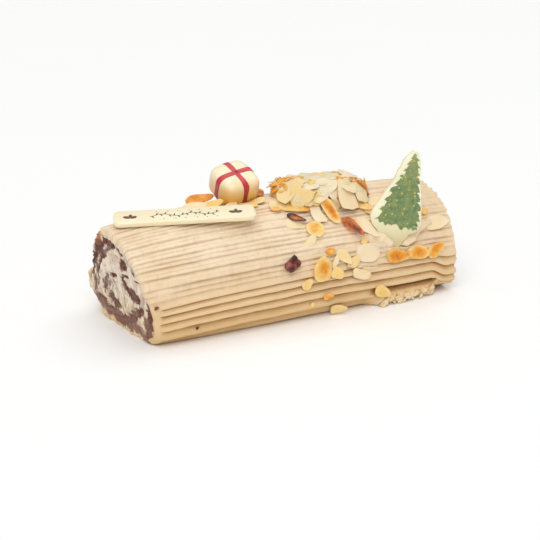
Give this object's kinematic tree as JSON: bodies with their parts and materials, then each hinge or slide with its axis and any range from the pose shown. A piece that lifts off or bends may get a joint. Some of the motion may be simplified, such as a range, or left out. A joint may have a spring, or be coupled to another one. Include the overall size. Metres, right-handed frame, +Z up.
{
  "type": "yule log cake",
  "caption": "Rolled chocolate sponge log with combed buttercream, cut at both ends and dressed with almond flakes, a cut branch, a plaque, a gift bonbon and a fir tree.",
  "frame": {"origin": "centre of the footprint, on the surface that the log rests on", "axes": "+X along the log, from the cut end with the plaque beside it to the end with the fir tree; -Y is the dressed front; +Z up"},
  "size_m": [0.2317, 0.0994, 0.1015],
  "materials": {
    "sponge": "soft chocolate sponge with an open, torn crumb",
    "cream": "smeared vanilla cream, satin",
    "buttercream": "pale beige buttercream drawn into ridges, satin",
    "almond": "toasted almond flakes, pale rims and golden middles",
    "white_chocolate": "moulded white chocolate, soft gloss",
    "praline": "dark caramelised chip"
  },
  "bodies": {
    "root": {"sponge_roll": "sponge", "cream_filling": "cream", "buttercream_coat": "buttercream", "almond_branch": "almond", "gift_bonbon": "white_chocolate", "message_plaque": "white_chocolate", "fir_tree": "white_chocolate", "praline_chip": "praline"}
  },
  "joints": []
}
